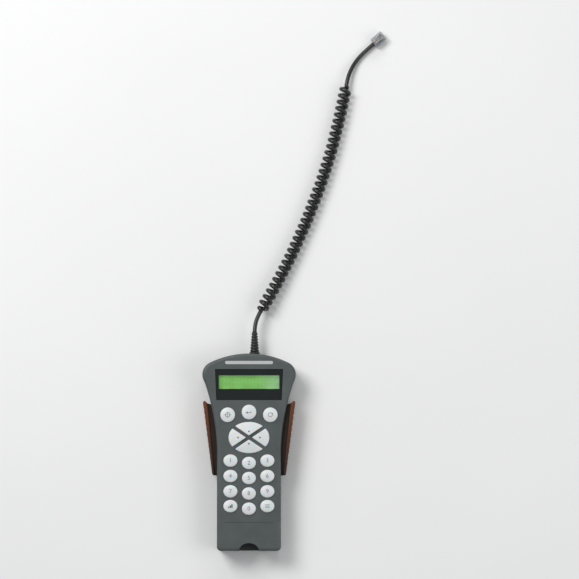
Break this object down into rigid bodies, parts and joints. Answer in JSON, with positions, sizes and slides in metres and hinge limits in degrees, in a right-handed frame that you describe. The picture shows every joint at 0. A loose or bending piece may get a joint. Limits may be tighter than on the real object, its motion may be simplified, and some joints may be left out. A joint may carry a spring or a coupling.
{
  "type": "telescope hand controller",
  "caption": "Handheld telescope controller: keyhole-shaped case, backlit display, direction pad and number keys, rubber side grips, coiled cord with a modular plug.",
  "frame": {"origin": "middle of the case's back, where it rests, with the cord left out", "axes": "+Z out of the keys, +Y towards the display and the cord, +X to the right of someone reading the keys"},
  "size_m": [0.1753, 0.4958, 0.0312],
  "materials": {
    "case_plastic": "fine-grained dark gray moulding",
    "screw_steel": "zinc plated",
    "label_film": "blank silver film",
    "lens": "polished, black printed border",
    "black_tape": "matt",
    "foam": "open foam",
    "frame_steel": "black painted sheet",
    "lcd_green": "lit yellow-green",
    "backlight": "diffusing block",
    "circuit_board": "solder mask",
    "ribbon": "polyimide film",
    "mat_rubber": "translucent silicone",
    "lamp": "clear lamp",
    "chip_black": "moulded package",
    "socket_plastic": "moulded black",
    "gold_contact": "gold flashed",
    "connector_plastic": "natural nylon",
    "lead_insulation": "insulation",
    "rail_rubber": "black",
    "grip_rubber": "burnt orange, matt",
    "cord_jacket": "satin black jacket",
    "plug_clear": "clear moulded",
    "key_rubber": "white translucent, satin"
  },
  "bodies": {
    "case": {"front_shell": "case_plastic", "rear_shell": "case_plastic", "case_screws": "screw_steel", "rear_label": "label_film", "display_lens": "lens", "lens_tape": "black_tape", "display_seal": "foam", "lcd_frame": "frame_steel", "lcd_glass": "lcd_green", "lcd_backlight": "backlight", "lcd_board": "circuit_board", "lcd_ribbon": "ribbon", "lcd_screws": "screw_steel", "main_board": "circuit_board", "keypad_mat": "mat_rubber", "key_webs": "mat_rubber", "key_lamps": "lamp", "board_parts": "chip_black", "board_screws": "screw_steel", "data_socket": "socket_plastic", "socket_contacts": "gold_contact", "cord_connector": "connector_plastic", "cord_leads": "lead_insulation", "grip_rail_left": "rail_rubber", "grip_rail_right": "rail_rubber", "side_grip_left": "grip_rubber", "side_grip_right": "grip_rubber", "strain_relief": "cord_jacket", "cord_tail_near": "cord_jacket", "cord_coil": "cord_jacket", "cord_tail_far": "cord_jacket", "plug_body": "plug_clear", "plug_contacts": "gold_contact"},
    "key_align": {"key_align": "key_rubber"},
    "key_enter": {"key_enter": "key_rubber"},
    "key_back": {"key_back": "key_rubber"},
    "key_1": {"key_1": "key_rubber"},
    "key_2": {"key_2": "key_rubber"},
    "key_3": {"key_3": "key_rubber"},
    "key_4": {"key_4": "key_rubber"},
    "key_5": {"key_5": "key_rubber"},
    "key_6": {"key_6": "key_rubber"},
    "key_7": {"key_7": "key_rubber"},
    "key_8": {"key_8": "key_rubber"},
    "key_9": {"key_9": "key_rubber"},
    "key_speed": {"key_speed": "key_rubber"},
    "key_0": {"key_0": "key_rubber"},
    "key_menu": {"key_menu": "key_rubber"},
    "key_down": {"key_down": "key_rubber"},
    "key_right": {"key_right": "key_rubber"},
    "key_up": {"key_up": "key_rubber"},
    "key_left": {"key_left": "key_rubber"},
    "plug_latch": {"plug_latch": "plug_clear"}
  },
  "joints": [
    {"name": "press_align", "type": "slide", "parent": "case", "child": "key_align", "axis": [0, 0, -1], "range_m": [0, 0.001], "stiffness_N_per_m": 600, "springref_m": -0.001, "deforming": ["key_webs"]},
    {"name": "press_enter", "type": "slide", "parent": "case", "child": "key_enter", "axis": [0, 0, -1], "range_m": [0, 0.001], "stiffness_N_per_m": 600, "springref_m": -0.001, "deforming": ["key_webs"]},
    {"name": "press_back", "type": "slide", "parent": "case", "child": "key_back", "axis": [0, 0, -1], "range_m": [0, 0.001], "stiffness_N_per_m": 600, "springref_m": -0.001, "deforming": ["key_webs"]},
    {"name": "press_1", "type": "slide", "parent": "case", "child": "key_1", "axis": [0, 0, -1], "range_m": [0, 0.001], "stiffness_N_per_m": 600, "springref_m": -0.001, "deforming": ["key_webs"]},
    {"name": "press_2", "type": "slide", "parent": "case", "child": "key_2", "axis": [0, 0, -1], "range_m": [0, 0.001], "stiffness_N_per_m": 600, "springref_m": -0.001, "deforming": ["key_webs"]},
    {"name": "press_3", "type": "slide", "parent": "case", "child": "key_3", "axis": [0, 0, -1], "range_m": [0, 0.001], "stiffness_N_per_m": 600, "springref_m": -0.001, "deforming": ["key_webs"]},
    {"name": "press_4", "type": "slide", "parent": "case", "child": "key_4", "axis": [0, 0, -1], "range_m": [0, 0.001], "stiffness_N_per_m": 600, "springref_m": -0.001, "deforming": ["key_webs"]},
    {"name": "press_5", "type": "slide", "parent": "case", "child": "key_5", "axis": [0, 0, -1], "range_m": [0, 0.001], "stiffness_N_per_m": 600, "springref_m": -0.001, "deforming": ["key_webs"]},
    {"name": "press_6", "type": "slide", "parent": "case", "child": "key_6", "axis": [0, 0, -1], "range_m": [0, 0.001], "stiffness_N_per_m": 600, "springref_m": -0.001, "deforming": ["key_webs"]},
    {"name": "press_7", "type": "slide", "parent": "case", "child": "key_7", "axis": [0, 0, -1], "range_m": [0, 0.001], "stiffness_N_per_m": 600, "springref_m": -0.001, "deforming": ["key_webs"]},
    {"name": "press_8", "type": "slide", "parent": "case", "child": "key_8", "axis": [0, 0, -1], "range_m": [0, 0.001], "stiffness_N_per_m": 600, "springref_m": -0.001, "deforming": ["key_webs"]},
    {"name": "press_9", "type": "slide", "parent": "case", "child": "key_9", "axis": [0, 0, -1], "range_m": [0, 0.001], "stiffness_N_per_m": 600, "springref_m": -0.001, "deforming": ["key_webs"]},
    {"name": "press_speed", "type": "slide", "parent": "case", "child": "key_speed", "axis": [0, 0, -1], "range_m": [0, 0.001], "stiffness_N_per_m": 600, "springref_m": -0.001, "deforming": ["key_webs"]},
    {"name": "press_0", "type": "slide", "parent": "case", "child": "key_0", "axis": [0, 0, -1], "range_m": [0, 0.001], "stiffness_N_per_m": 600, "springref_m": -0.001, "deforming": ["key_webs"]},
    {"name": "press_menu", "type": "slide", "parent": "case", "child": "key_menu", "axis": [0, 0, -1], "range_m": [0, 0.001], "stiffness_N_per_m": 600, "springref_m": -0.001, "deforming": ["key_webs"]},
    {"name": "press_down", "type": "slide", "parent": "case", "child": "key_down", "axis": [0, 0, -1], "range_m": [0, 0.001], "stiffness_N_per_m": 600, "springref_m": -0.001, "deforming": ["key_webs"]},
    {"name": "press_right", "type": "slide", "parent": "case", "child": "key_right", "axis": [0, 0, -1], "range_m": [0, 0.001], "stiffness_N_per_m": 600, "springref_m": -0.001, "deforming": ["key_webs"]},
    {"name": "press_up", "type": "slide", "parent": "case", "child": "key_up", "axis": [0, 0, -1], "range_m": [0, 0.001], "stiffness_N_per_m": 600, "springref_m": -0.001, "deforming": ["key_webs"]},
    {"name": "press_left", "type": "slide", "parent": "case", "child": "key_left", "axis": [0, 0, -1], "range_m": [0, 0.001], "stiffness_N_per_m": 600, "springref_m": -0.001, "deforming": ["key_webs"]},
    {"name": "latch_flex", "type": "hinge", "parent": "case", "child": "plug_latch", "pos_m": [0.12664, 0.39823, 0.0063], "axis": [0.6568, -0.7541, 0], "range_deg": [0, 8], "stiffness_Nm_per_rad": 0.02, "springref_deg": -2.86}
  ]
}
